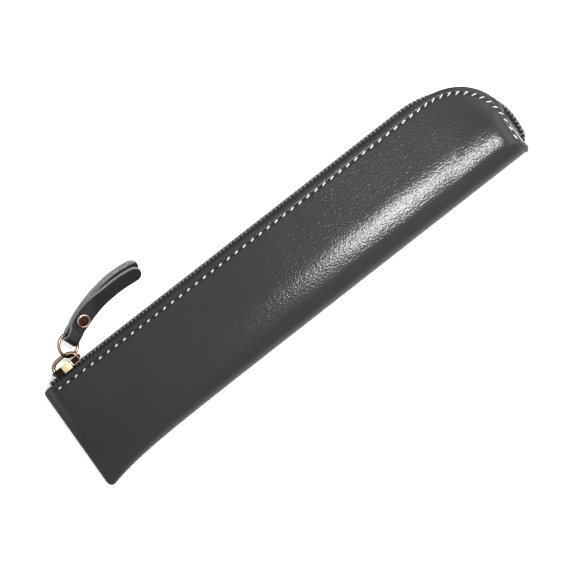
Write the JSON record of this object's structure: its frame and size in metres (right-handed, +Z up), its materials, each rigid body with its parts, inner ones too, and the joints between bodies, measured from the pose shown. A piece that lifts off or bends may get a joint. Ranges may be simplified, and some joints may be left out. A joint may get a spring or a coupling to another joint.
{
  "type": "zippered pencil pouch",
  "caption": "Slim folded leather pencil pouch with a coil zip round one corner, and a slider with a ring and a riveted leather strap pull.",
  "frame": {"origin": "on the flat underside of the back panel, midway along the pouch; the underside is at Z = 0", "axes": "+X along the pouch towards its rounded end, +Y towards the zip, +Z up out of the front panel"},
  "size_m": [0.2096, 0.0653, 0.0153],
  "materials": {
    "hide": "smooth dark slate leather, soft sheen",
    "tape": "black woven polyester",
    "coil": "black nylon coil",
    "thread": "pale grey sewing thread",
    "dark_thread": "dark sewing thread",
    "slider_metal": "polished pale rose brass plating",
    "ring_metal": "polished pale gold wire",
    "strap_leather": "smooth face, suede back and raw pale edges",
    "rivet_metal": "polished coppery brass"
  },
  "bodies": {
    "pouch": {"leather_body": "hide", "zip_tape_front": "tape", "zip_tape_back": "tape", "zip_coil_front": "coil", "zip_coil_back": "coil", "stitching_front": "thread", "stitching_back": "thread", "end_seam_thread": "dark_thread"},
    "slider": {"slider_body": "slider_metal", "slider_bridge": "slider_metal"},
    "ring": {"pull_ring": "ring_metal"},
    "strap": {"pull_strap": "strap_leather", "rivet_cap": "rivet_metal", "rivet_back": "rivet_metal"}
  },
  "joints": [
    {"name": "slider_travel", "type": "slide", "parent": "pouch", "child": "slider", "axis": [1, 0, 0], "range_m": [0, 0.148]},
    {"name": "ring_swing", "type": "hinge", "parent": "slider", "child": "ring", "pos_m": [-0.08734, 0.02541, 0.00716], "axis": [0.4352, -0.6947, -0.5727], "range_deg": [-70, 5]},
    {"name": "strap_swing", "type": "hinge", "parent": "ring", "child": "strap", "pos_m": [-0.08074, 0.0299, 0.00534], "axis": [-0.2698, 0.8061, 0.5267], "range_deg": [-35, 35]}
  ]
}
